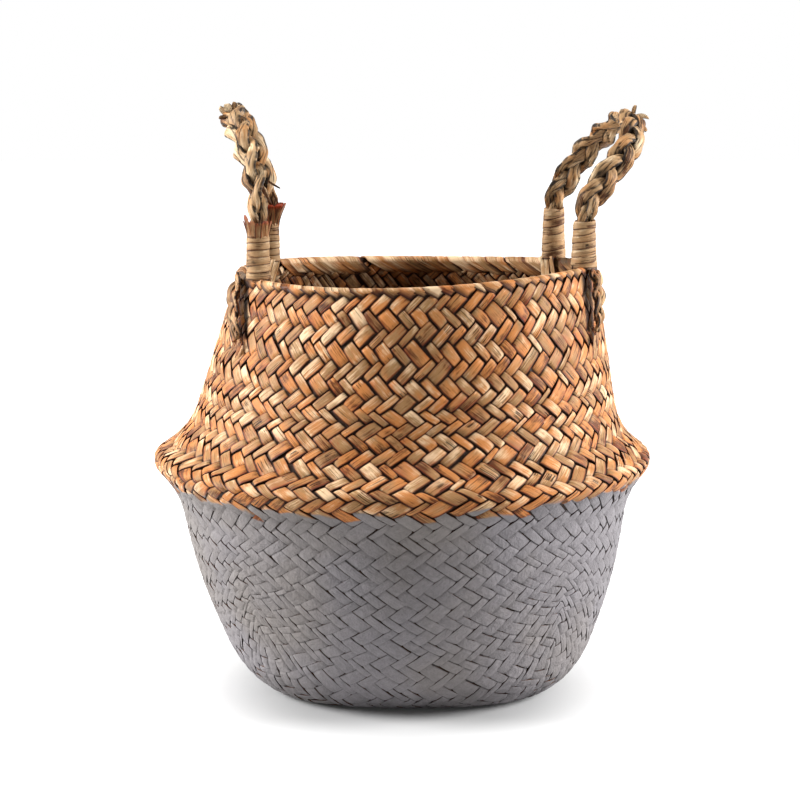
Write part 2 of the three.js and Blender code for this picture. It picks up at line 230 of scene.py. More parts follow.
def on_mat(x, y, quarter):
    """Where a place of the flat mat, counted in strips, ends up on the basket: its azimuth and arc."""
    forward = np.choose(quarter, [x, y, -x, -y])
    sideways = np.choose(quarter, [y, -x, -y, x])
    rising = unevenly(MAT_HALF * quarter + MAT_HALF - forward, RISING_LANES)
    falling = unevenly(MAT_HALF * quarter + sideways, FALLING_LANES)
    level = falling - rising
    around = (falling + rising) / 2
    forward = MAT_HALF * quarter + MAT_HALF - rising
    sideways = falling - MAT_HALF * quarter
    flat_azimuth = np.degrees(np.arctan2(sideways, forward)) + 90 * quarter - 45
    flat_arc = np.hypot(forward, sideways) * MAT_PITCH
    side = np.floor(around / MAT_HALF)
    along_side = 2 * (around - MAT_HALF * side) - MAT_HALF
    square_azimuth = 90 * side + np.degrees(np.arctan2(along_side, MAT_HALF))
    even_azimuth = 360 / STRIPS_ROUND * around - 45
    rounding = 0.35 * soft_step(0, ROUNDING_LEVELS, level) + 0.65 * np.clip(level / ROUNDING_LEVELS, 0, 1)
    corner = (np.hypot(MAT_HALF, along_side) - MAT_HALF) / (MAT_HALF * (math.sqrt(2) - 1))
    wall_arc = np.interp(level, LEVELS, LEVEL_ARC)
    wall_arc = wall_arc + corner * (math.sqrt(2) - 1) * LEVEL_ARC[0] * (1 - rounding)
    wall_azimuth = square_azimuth + (even_azimuth - square_azimuth) * rounding
    on_floor = level < 0
    return np.where(on_floor, flat_azimuth, wall_azimuth), np.where(on_floor, flat_arc, wall_arc)


# What each point of a strip carries for its finish: how pale it is, how much painted shade it gets where it
# dips into a hollow or lies in shade, if it is on the outside of the basket (the inside gets painted shade),
# how orange it is, how stained with red-brown, and its place from one side (-1) to the other (1)
MARKS = ("tone", "shade", "outer", "warmth", "stain", "side")


class Strips:
    """Gathers many strips, each a closed ribbon or strand, into one mesh piece."""

    def __init__(self):
        self.points, self.faces, self.uvs, self.marks, self.crisp = [], [], [], [], []
        self.count = 0

    def add(self, grid, across, along, tone, shade, outer=1.0, warmth=0.5, stain=0.0, side=0.0, crisp=()):
        """grid holds the rings of points along the strip; the others hold a value for each point of it."""
        shape = rings, around = grid.shape[:2]
        index = np.arange(rings * around).reshape(shape)
        here, there = index[:-1], index[1:]
        sides = np.stack([here, np.roll(here, -1, 1), np.roll(there, -1, 1), there], -1).reshape(-1, 4)
        half = np.arange(around // 2 - 1)
        cap = np.stack([half, half + 1, around - 2 - half, around - 1 - half], -1)
        faces = np.concatenate([sides, cap[:, ::-1], cap + index[-1, 0]])
        flat = grid.reshape(-1, 3)
        a, b, c, d = (flat[faces[:, i]] for i in range(4))
        volume = np.einsum("ij,ij->", a - flat.mean(0), np.cross(c - a, d - b))
        if volume < 0:
            faces = faces[:, ::-1]
        self.points.append(flat)
        self.faces.append(faces + self.count)
        self.uvs.append(np.stack([np.broadcast_to(v, shape).ravel() for v in (across, along)], -1))
        values = [np.broadcast_to(v, shape).ravel() for v in (tone, shade, outer, warmth, stain, side)]
        self.marks.append(np.stack(values, -1))
        corner = np.zeros(around, int)
        corner[list(crisp)] = np.array(crisp, int) + 1
        self.crisp.append(np.broadcast_to(corner, shape).ravel())
        self.count += rings * around

    def make(self, name, material):
        points, faces = np.concatenate(self.points) * MM, np.concatenate(self.faces)
        uvs, marks, crisp = (np.concatenate(rows) for rows in (self.uvs, self.marks, self.crisp))
        mesh = bpy.data.meshes.new(name)
        mesh.from_pydata(points, [], faces)
        mesh.uv_layers.new(name="strip").data.foreach_set("uv", uvs[faces.ravel()].ravel().astype(np.float32))
        for column, mark in enumerate(MARKS):
            values = mesh.attributes.new(mark, "FLOAT", "POINT")
            values.data.foreach_set("value", marks[:, column].astype(np.float32))
        mesh.polygons.foreach_set("use_smooth", np.ones(len(faces), bool))
        edges = np.zeros(2 * len(mesh.edges), np.int32)
        mesh.edges.foreach_get("vertices", edges)
        ends = crisp[edges.reshape(-1, 2)]
        sharp = mesh.attributes.new("sharp_edge", "BOOLEAN", "EDGE")
        sharp.data.foreach_set("value", (ends[:, 0] == ends[:, 1]) & (ends[:, 0] > 0))
        mesh.materials.append(material)
        piece = bpy.data.objects.new(name, mesh)
        bpy.context.scene.collection.objects.link(piece)
        return piece


class Waver:
    """A slow, steady wander along a strip, the same each time it is asked."""

    def __init__(self, chance, lengths, size):
        size = size / len(lengths) ** 0.5
        self.waves = [
            (size, 2 * math.pi / length * chance.uniform(0.8, 1.25), chance.uniform(0, 2 * math.pi))
            for length in lengths
        ]

    def at(self, place):
        return sum(size * np.sin(rate * place + start) for size, rate, start in self.waves)


# Finishes

def srgb(red, green, blue):
    def linear(value):
        value /= 255
        return value / 12.92 if value <= 0.04045 else ((value + 0.055) / 1.055) ** 2.4
    return (linear(red), linear(green), linear(blue), 1.0)


class Value:
    """What comes out of a node. Sums with it, written as usual, are laid out as nodes."""

    def __init__(self, nodes, socket):
        self.nodes, self.socket = nodes, socket

    def __add__(self, other):
        return self.nodes.sum("ADD", self, other)

    def __sub__(self, other):
        return self.nodes.sum("SUBTRACT", self, other)

    def __rsub__(self, other):
        return self.nodes.sum("SUBTRACT", other, self)

    def __mul__(self, other):
        return self.nodes.sum("MULTIPLY", self, other)

    def __abs__(self):
        return self.nodes.sum("ABSOLUTE", self)

    def at_least(self, other):
        return self.nodes.sum("MAXIMUM", self, other)

    def range(self, low, high, to_low=0.0, to_high=1.0, form="LINEAR"):
        """The value held between low and high, and moved to lie between the other two."""
        node = self.nodes.new("ShaderNodeMapRange", interpolation_type=form)
        return self.nodes.fill(node, self, low, high, to_low, to_high)

    def soft_range(self, *ends):
        return self.range(*ends, form="SMOOTHSTEP")


class Nodes:
    """Short ways to lay out shader nodes."""

    def __init__(self, tree):
        self.tree = tree

    def new(self, kind, **settings):
        node = self.tree.nodes.new(kind)
        for name, setting in settings.items():
            setattr(node, name, setting)
        return node

    def put(self, socket, value):
        """Links a socket to what a node gives, or sets it to a plain number or colour."""
        value = value.socket if isinstance(value, Value) else value
        if isinstance(value, bpy.types.NodeSocket):
            self.tree.links.new(value, socket)
        else:
            socket.default_value = value

    def fill(self, node, *values, output=0):
        """Fills a node's sockets in their order, and gives what comes out."""
        for socket, value in zip(node.inputs, values):
            self.put(socket, value)
        return Value(self, node.outputs[output])

    def sum(self, operation, *values):
        return self.fill(self.new("ShaderNodeMath", operation=operation), *values)

    def vector(self, x, y, z):
        return self.fill(self.new("ShaderNodeCombineXYZ"), x, y, z)

    def parts(self, vector):
        """The three numbers of a vector."""
        node = self.new("ShaderNodeSeparateXYZ")
        self.put(node.inputs[0], vector)
        return [Value(self, part) for part in node.outputs]

    def place(self):
        return self.new("ShaderNodeTexCoord").outputs["Object"]

    def on_strip(self):
        """The place across a strip and along it."""
        return self.parts(self.new("ShaderNodeUVMap", uv_map="strip").outputs[0])[:2]

    def mark(self, name):
        return Value(self, self.new("ShaderNodeAttribute", attribute_name=name).outputs["Fac"])

    def noise(self, vector, scale=1.0, detail=2.0, roughness=0.5):
        node = self.new("ShaderNodeTexNoise")
        looks = {"Vector": vector, "Scale": scale, "Detail": detail, "Roughness": roughness}
        for name, value in looks.items():
            self.put(node.inputs[name], value)
        return Value(self, node.outputs["Fac"])

    def mix(self, factor, first, second):
        """A colour from first, where the factor is 0, to second, where it is 1."""
        node = self.new("ShaderNodeMix", data_type="RGBA")
        for number, value in ((0, factor), (6, first), (7, second)):
            self.put(node.inputs[number], value)
        return Value(self, node.outputs[2])

    def shown_plain(self):
        """1 for what the camera sees, directly or in gloss or glass, and 0 for what lights the object."""
        rays = self.new("ShaderNodeLightPath").outputs
        direct = self.sum("MAXIMUM", rays["Is Camera Ray"], rays["Is Glossy Ray"])
        return direct.at_least(rays["Is Transmission Ray"])


def new_group(name, inputs):
    """A node group that gives Color, Roughness and Height: itself, its nodes, its inputs and its outputs."""
    group = bpy.data.node_groups.new(name, "ShaderNodeTree")

    def add(socket, way, is_colour):
        form = "NodeSocketColor" if is_colour else "NodeSocketFloat"
        return group.interface.new_socket(name=socket, in_out=way, socket_type=form)

    for socket, value in inputs.items():
        add(socket, "INPUT", isinstance(value, tuple)).default_value = value
    for socket in ("Color", "Roughness", "Height"):
        add(socket, "OUTPUT", socket == "Color")
    nodes = Nodes(group)
    given = {socket.name: Value(nodes, socket) for socket in nodes.new("NodeGroupInput").outputs}
    return group, nodes, given, nodes.new("NodeGroupOutput").inputs


def dry_leaf_group():
    """Dried leaf: lengthwise fibres, paler and darker strips, red-brown stains, and painted shade in the
    hollows between strips, at their edges and inside the basket.
    """
    group, nodes, given, out = new_group("dry_leaf_surface", {
        "Pale": srgb(242, 208, 166), "Khaki": srgb(170, 128, 84), "Orange": srgb(206, 134, 74),
        "Deep": srgb(100, 56, 30), "Stain": srgb(168, 66, 28), "Hollow": srgb(24, 10, 5), "Stains": 0.5,
    })
    across, along = nodes.on_strip()
    tone, shade, outer, warmth, stain, side = map(nodes.mark, MARKS)

    def streaks(wide, long, seed, **look):
        return nodes.noise(nodes.vector(across * wide, along * long, seed), **look)

    broad = streaks(0.7, 0.035, 0.0)
    fine = streaks(2.6, 0.12, 3.0, detail=3.0, roughness=0.65)
    drift = streaks(0.12, 0.11, 7.0, detail=3.0)
    patches = streaks(0.36, 0.13, 11.0, detail=4.0, roughness=0.62)
    specks = streaks(1.3, 0.6, 17.0)
    hue = streaks(0.2, 0.08, 23.0)
    splits = streaks(1.3, 0.03, 29.0, detail=1.0)
    shreds = streaks(2.1, 0.05, 31.0, detail=1.0)
    shredded = streaks(0.03, 0.085, 37.0, detail=1.0)

    # The leaf's own colour, from deep over khaki or orange to pale, with its fibres, and a painted highlight
    # that makes each strip's upper edge a little paler
    streak = (broad - 0.5) * 0.7 + (fine - 0.5) * 1.25
    level = tone + streak + ((drift - 0.5) * 1.2 + side.range(-0.2, 0.95, -0.05, 0.12))
    orange = (warmth + (hue - 0.5) * 1.1).soft_range(0.25, 0.85)
    body = nodes.mix(orange, given["Khaki"], given["Orange"])
    body = nodes.mix(level.soft_range(0.0, 0.4), given["Deep"], body)
    body = nodes.mix(level.soft_range(0.5, 0.98), body, given["Pale"])

    # Red-brown stains, dark specks, and places where the leaf is split or torn to shreds, where painted shade
    # shows through
    reddened = patches.soft_range(0.58, 0.74) * given["Stains"]
    reddened = reddened.at_least(stain * fine.range(0.3, 0.6)).range(0.0, 1.0)
    body = nodes.mix(reddened * 0.85, body, given["Stain"])
    body = nodes.mix(specks.soft_range(0.66, 0.78) * 0.4, body, given["Deep"])
    torn = shreds.soft_range(0.47, 0.41) * shredded.soft_range(0.6, 0.64)
    split = (splits.soft_range(0.33, 0.28) * 0.75).at_least(torn * 0.85)
    body = nodes.mix(split, body, given["Hollow"])

    # Red-brown stains on the edges, then painted shade: dark edges, deepest on the lower side, darker leaf
    # inside the basket, and the hollows where a strip dips under others
    beside = abs(side) + (fine - 0.5) * 0.3 + side.range(0.3, -0.3, 0.0, 0.2)
    body = nodes.mix(beside.range(0.74, 1.04) * given["Stains"], body, given["Stain"])
    inside = outer.range(0.6, 0.0) * patches.range(0.35, 0.65, 0.78, 0.25)
    body = nodes.mix(inside, body, given["Hollow"])
    sunk = (shade.soft_range(0.25, 1.0) * 0.96).at_least(beside.soft_range(0.89, 1.13, 0.0, 0.9))
    nodes.put(out["Color"], nodes.mix(sunk, body, given["Hollow"]))
    nodes.put(out["Roughness"], fine.range(0.3, 0.75, 0.38, 0.62))
    nodes.put(out["Height"], fine + broad * 1.4 - split * 0.9)
    return group


# The upper edge of the paint: how far above the seam of the walls it lies, how ragged it is, how much it
# waves, how far it climbs to the right of the basket, and how far strips of different tones differ
PAINT_ABOVE_SEAM = 2.6
EDGE_RAGGED, EDGE_WAVE, EDGE_CLIMB, EDGE_BY_TONE = 5.5 * MM, 6.0 * MM, 5.2 * MM, 14.0 * MM


def grey_coat_group():
    """A dip of matt grey paint on the outside of the weave, up to an uneven line."""
    group, nodes, given, out = new_group("grey_coat", {
        "Under": srgb(190, 145, 98), "Under Roughness": 0.5, "Under Height": 0.5,
        "Grey": srgb(137, 133, 136), "Warm Grey": srgb(135, 129, 126), "Seam": srgb(16, 13, 12),
        "Line": (PAINT_HEIGHT + PAINT_ABOVE_SEAM) * MM,
    })
    place = nodes.place()
    right, _, up = nodes.parts(place)
    across, along = nodes.on_strip()
    tone, shade, outer, side = map(nodes.mark, ("tone", "shade", "outer", "side"))

    # Where the paint covers the leaf
    edge = given["Line"] + (nodes.noise(place, 95.0, 3.0) - 0.5) * EDGE_RAGGED
    edge = edge + (nodes.noise(place, 22.0, 1.0) - 0.5) * EDGE_WAVE
    edge = edge + right.range(0.0, 0.13, 0.0, EDGE_CLIMB) + (tone - 0.5) * EDGE_BY_TONE
    covered = (edge - up).range(-0.7 * MM, 0.7 * MM) * outer.range(0.3, 0.55)

    # Its colour: two greys in clouds, the warmer grey leaning to the left as painted light, varied by strip,
    # brush mark and speckle, brighter low down as painted bounce light from the floor, and darker in patches
    # towards the bottom
    brushed = nodes.noise(nodes.vector(across * 2.2, along * 0.12, 5.0), detail=3.0, roughness=0.6)
    # Painted light: the warmer grey leans towards the left side
    warm_clouds_and_side_light = (nodes.noise(place, 14.0, 3.0) + right * -1.1).soft_range(0.4, 0.72)
    grey = nodes.mix(warm_clouds_and_side_light, given["Grey"], given["Warm Grey"])
    lift = (tone - 0.5) * 0.16 + (brushed - 0.5) * 0.42
    lift = lift + nodes.noise(place, 330.0, 4.0, 0.7).range(0.3, 0.7, 0.88, 1.12)
    # Painted bounce light from the floor: brighter low down
    lift = lift * up.range(0.07, 0.02, 0.98, 1.09)
    # Darker in patches towards the bottom
    darker_foot_patches = up.range(0.02, 0.002) * nodes.noise(place, 55.0, 4.0, 0.7).range(0.36, 0.62)
    lift = lift * darker_foot_patches.range(0.0, 1.0, 1.0, 0.45)
    bright = nodes.new("ShaderNodeVectorMath", operation="SCALE")
    nodes.put(bright.inputs["Scale"], lift)
    grey = nodes.fill(bright, grey)

    # Painted shade in the seams between the strips and at their edges, filled with paint in patches
    patchy = nodes.noise(place, 70.0, 2.0).soft_range(0.42, 0.56)
    seam = shade.soft_range(0.6, 1.0) * patchy.range(0, 1, 0.1, 0.7)
    beside = abs(side).soft_range(0.88, 1.0) * patchy.range(0, 1, 0.03, 0.4)
    grey = nodes.mix(seam.at_least(beside), grey, given["Seam"])
    nodes.put(out["Color"], nodes.mix(covered, given["Under"], grey))
    rough = covered * brushed.range(0.3, 0.7, 0.5, 0.72)
    nodes.put(out["Roughness"], rough + (1.0 - covered) * given["Under Roughness"])
    lumps = nodes.noise(place, 260.0, 2.0) * 4.5 + nodes.noise(place, 900.0, 2.0) * 2.2
    under = given["Under Height"] * (1.0 - covered * 0.3)
    nodes.put(out["Height"], under + covered * (lumps + brushed * 0.5))
    return group


DRY_LEAF = dry_leaf_group()
GREY_COAT = grey_coat_group()
RELIEF_DEPTH = 0.35


def leaf_finish(name, painted=False, bump=0.5, **values):
    """A material of dried leaf, with a coat of paint over it where painted."""
    material = bpy.data.materials.new(name)
    material.use_nodes = True
    nodes = Nodes(material.node_tree)
    shader = material.node_tree.nodes["Principled BSDF"]
    shader.inputs["Specular IOR Level"].default_value = 0.14
    last = nodes.new("ShaderNodeGroup", node_tree=DRY_LEAF)
    for socket, value in values.items():
        last.inputs[socket].default_value = value
    if painted:
        coat = nodes.new("ShaderNodeGroup", node_tree=GREY_COAT)
        for under, own in (("Under", "Color"), ("Under Roughness", "Roughness"), ("Under Height", "Height")):
            nodes.put(coat.inputs[under], last.outputs[own])
        last = coat
    relief = nodes.new("ShaderNodeBump")
    relief.inputs["Strength"].default_value = bump
    relief.inputs["Distance"].default_value = RELIEF_DEPTH * MM
    nodes.put(relief.inputs["Height"], last.outputs["Height"])
    nodes.put(shader.inputs["Base Color"], last.outputs["Color"])
    nodes.put(shader.inputs["Roughness"], last.outputs["Roughness"])
    nodes.put(shader.inputs["Normal"], relief.outputs["Normal"])
    return material


painted_leaf = leaf_finish("painted_leaf", painted=True)
natural_leaf = leaf_finish("natural_leaf", painted=True)
straw_leaf = leaf_finish(
    "straw_leaf", bump=0.6, Pale=srgb(244, 216, 176), Khaki=srgb(180, 144, 104), Orange=srgb(196, 144, 94),
    Deep=srgb(84, 52, 30), Stain=srgb(140, 68, 36), Hollow=srgb(10, 5, 3), Stains=0.4,
)
dark_leaf = leaf_finish(
    "dark_leaf", bump=0.6, Pale=srgb(214, 176, 130), Khaki=srgb(146, 108, 72), Orange=srgb(168, 106, 62),
    Deep=srgb(70, 40, 24), Stain=srgb(196, 62, 24), Hollow=srgb(18, 10, 7), Stains=0.3,
)
# Dark leaf colours for the sheet of painted shade in the middle of the wall
shadowed_leaf = leaf_finish(
    "shadowed_leaf", bump=0.4, Pale=srgb(62, 40, 24), Khaki=srgb(44, 28, 17), Orange=srgb(52, 31, 18),
    Deep=srgb(28, 17, 10), Stain=srgb(60, 28, 14), Hollow=srgb(18, 10, 6), Stains=0.3,
)


# The legs, and the shade that they and their tails throw on the wall

def find_legs():
    """Where each leg stands and how high it reaches, from the frame. Its handle's other leg lies towards."""
    legs = {}
    for side, handle in HANDLES.items():
        for end, sign in (("front", 1), ("back", -1)):
            sign = sign if side == "left" else -sign
            low, high = (np.array(corner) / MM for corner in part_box(f"{side}_{end}_leg"))
            legs[f"{side}_{end}"] = {
                "side": side, "middle": (low + high) / 2, "low": low[2], "high": high[2], "towards": -sign,
                "azimuth": handle["azimuth"] + sign * LEG_HALF_SPREAD, "lead": handle["lead"],
            }
    return legs


LEGS = find_legs()
TAIL_LENGTH, TAIL_OUT, TAIL_FOOT_SPREAD = 33.0, 3.7, 2.0
TAIL_BELOW_RIM = 1.5


def tail_azimuth(leg, share):
    """The azimuth of a leg's tail, from its start under the lashing (share 0) to its tip (share 1)."""
    return leg["azimuth"] + leg["towards"] * ((leg["lead"] + 2) * (1 - share) - TAIL_FOOT_SPREAD * share)


def apart(first, second):
    """How far one azimuth lies from another, from -180 to 180 degrees."""
    return np.mod(first - second + 180, 360) - 180


def handle_shadow(azimuth, arc):
    """How deep in shade the wall lies: dark beside each tail, and where the rim goes under a lashing."""
    dark = np.zeros(np.shape(azimuth))
    for leg in LEGS.values():
        share = (RIM_ARC - TAIL_BELOW_RIM - arc) / (TAIL_LENGTH - 3)
        held = np.clip(share, 0, 1)
        line = tail_azimuth(leg, held) - leg["towards"] * (5.0 - 2.5 * held)
        beside_tail = np.exp(-(apart(azimuth, line) / (2.6 - 1.3 * held)) ** 2)
        beside_tail = beside_tail * (share > 0.02) * soft_step(1.05, 0.9, share)
        middle = leg["azimuth"] + leg["towards"] * 9
        under_lashing = np.exp(-(apart(azimuth, middle) / 14.0) ** 4)
        under_lashing = under_lashing * soft_step(RIM_ARC - 6, RIM_ARC - 1, arc)
        dark = np.maximum(dark, np.maximum(np.minimum(1, 1.15 * beside_tail), 0.8 * under_lashing))
    return dark


# The woven wall

# A strip's section is a flat oval with four crisp corners: places across it and through it
SECTION = ((-1, 0.6), (0, 1), (1, 0.6), (1, -0.6), (0, -1), (-1, -0.6))
ACROSS, THROUGH = np.array(SECTION).T
CORNERS = (0, 2, 3, 5)
STRIP_THICKNESS, PILLOW = 0.8, 0.16
STRIP_PITCH, CROSSING_PITCH = 6.2, 6.0
WIDEST, PAINTED_WIDTH = 0.995, 0.99
FARTHEST_OUT = 1.98

# A strip floats over two others and tucks under two. Its height swaps over this share of a crossing, and it
# gets rings of points at these places between crossings.
FLOAT_HEIGHT, PAINTED_FLOAT_HEIGHT = 1.05, 0.62
FLOAT_ROUNDING, TUCK_NARROWING = 0.1, 0.07
TURN_SHARE = 0.74
STEPS = (0.0, 0.28, 0.5, 0.72)
CLOSEST_RINGS = 0.08

# The levels at which the strips pass from one piece to the next, and how they end at the rim
RISING_CUTS, FALLING_CUTS = (-1.5, 30.5), (0.5, 32.5)
FOLD_START_LEVEL = 60.5
FOLD_RADIUS, FOLD_DROP, FOLD_WIDENING, FOLD_LEAN = 1.75, 7.5, 0.48, 2.4
FOLD_BENDS, FOLD_DROPS = 7, 8
RISING_END_BELOW, FOLD_BELOW = 1.2, 1.9


def strip_habits():
    """For each strip of the mat: how wide it is, how it wanders, how dark it is, and if it is really two."""
    chance = np.random.RandomState(58)
    habits = {}
    for way in ("x", "y"):
        for number in range(2 * MAT_HALF):
            lane = number - MAT_HALF + 0.5
            edges = LANES[way, 1 if lane > 0 else -1]
            breadth = float(np.diff(edges)[int(abs(lane))])
            habits[way, lane] = {
                "breadth": breadth,
                "width": chance.uniform(0.915, 0.99),
                "double": chance.rand() < (0.14 if breadth > 1.15 else 0.03),
                "wander": Waver(chance, (31, 13, 4.1), 0.07),
                "spread": Waver(chance, (24, 9.3, 4.7), 0.055),
                "lift": Waver(chance, (17, 7.1, 3.9), 0.1),
                "tilt": Waver(chance, (13, 5.3), 0.16),
                "tone": float(np.clip(chance.normal(0.47, 0.08), 0.28, 0.68)),
                "shift": Waver(chance, (37, 9, 4.1), 0.16),
                "warmth": float(chance.uniform(0.2, 0.8)),
                "warming": Waver(chance, (29, 11, 4.3), 0.3),
                "stain": Waver(chance, (19, 7.7, 3.3), 0.62),
                "place": chance.uniform(0, 900),
                "floats": chance.normal(0, 1, (3, 200)),
            }
    return habits


HABITS = strip_habits()


def is_rising(way, lane, run):
    """Seen from outside, a strip end climbs to the right or to the left."""
    return (np.sign(run) * np.sign(lane) > 0) == (way == "x")


def weave_side(way, lane, crossing):
    """1 where the strip lies outside at that crossing, and -1 where it lies inside."""
    level = np.round(abs(lane) + np.abs(crossing) - MAT_HALF)
    rising_outside = np.mod(level, 4) < 2
    return np.where(rising_outside == is_rising(way, lane, crossing), 1.0, -1.0)


def weave_height(way, lane, run):
    before = np.floor(run - 0.5) + 0.5
    turn = soft_step(0.5 - TURN_SHARE / 2, 0.5 + TURN_SHARE / 2, run - before)
    first, second = weave_side(way, lane, before), weave_side(way, lane, before + 1)
    return first + (second - first) * turn


def float_middle(way, lane, run):
    """The place along a strip where the float it is in has its middle."""
    nearest = np.round(run)
    whole = weave_side(way, lane, nearest - 0.5) == weave_side(way, lane, nearest + 0.5)
    return np.where(whole, nearest, nearest + np.where(run > nearest, 1, -1))


def mat_place(way, lane, sideways, run):
    """Azimuth and arc of a place beside a strip's middle line, on that strip's own quarter of the mat."""
    if way == "x":
        return on_mat(sideways, run, mat_quarter(lane, run))
    return on_mat(run, sideways, mat_quarter(run, lane))


def run_at_arc(way, lane, sign, arc):
    """How far along its run a strip has climbed when it reaches that arc below the rim."""
    runs = np.arange(55, 66, 0.05) + MAT_HALF - abs(lane)
    arcs = mat_place(way, lane, np.full(len(runs), lane), sign * runs)[1]
    return float(np.interp(arc, arcs, runs))


def ring_places(start, end):
    """The places along a strip's run that get a ring of points."""
    whole = np.arange(math.floor(start) - 1, math.ceil(end) + 1)
    run = (whole[:, None] + 0.5 + np.array(STEPS)).ravel()
    return np.r_[start, run[(run > start + CLOSEST_RINGS) & (run < end - CLOSEST_RINGS)], end]


def rim_fold(azimuth, arc, out, upper, chance):
    """Bends a strip that has come up outside over the edge of the rim and down inside."""
    limit = RIM_ARC - FOLD_BELOW
    slope = (azimuth[-1].mean() - azimuth[-4].mean()) / (arc[-1].mean() - arc[-4].mean())
    slope = float(np.clip(slope, -1.1, -0.35))
    held = np.minimum(arc, limit)
    azimuth = azimuth + slope * (held - arc)
    azimuth[-1] = azimuth[-1] + slope * (limit - held[-1])
    held[-1] = limit
    down = np.linspace(0, 1, FOLD_DROPS + 1)[1:, None] * FOLD_DROP * chance.uniform(0.8, 1.1)
    tilt = upper * chance.uniform(0.12, 0.24)
    reach = FOLD_RADIUS + (STRIP_THICKNESS / 2 + 0.1 * (1 - ACROSS ** 2)) * THROUGH + tilt * ACROSS
    turn = np.linspace(0, math.pi, FOLD_BENDS + 1)[1:, None]
    bent_azimuth = azimuth[-1] + slope * 0.45 * FOLD_RADIUS * turn
    bent_out = reach * np.cos(turn) - 0.1 * (1 - np.cos(turn))
    sunk = 0.9 * soft_step(0.6, 1, down / FOLD_DROP)
    azimuth = np.concatenate([azimuth, bent_azimuth, bent_azimuth[-1] + slope * down])
    arc = np.concatenate([held, limit + reach * np.sin(turn), limit - down + 0 * reach])
    return azimuth, arc, np.concatenate([out, bent_out, sunk - 0.2 - reach])


def lengthened(rows, extra):
    """Rows with the last of them repeated at the end."""
    return np.concatenate([rows, np.repeat(rows[-1:], extra, 0)])


def strip_width(habit, rising, run, height, level, painted, float_at, own_width):
    """The share of its lane that a strip fills at each place of its run."""
    width = habit["width"] + habit["spread"].at(run)
    if rising:
        width = width + (PAINTED_WIDTH - width) * 0.85 * painted
    tucked = TUCK_NARROWING * (1 - 0.75 * painted) * (1 - np.abs(height)) ** 1.5
    rounding = 1 - FLOAT_ROUNDING * (1 - 0.6 * painted) * (run - float_at) ** 2
    width = np.minimum(width * (1 + 0.035 * own_width * (1 - painted)), WIDEST) * (1 - tucked) * rounding
    return width * (1 + FOLD_WIDENING * soft_step(62.1, 63.2, level))


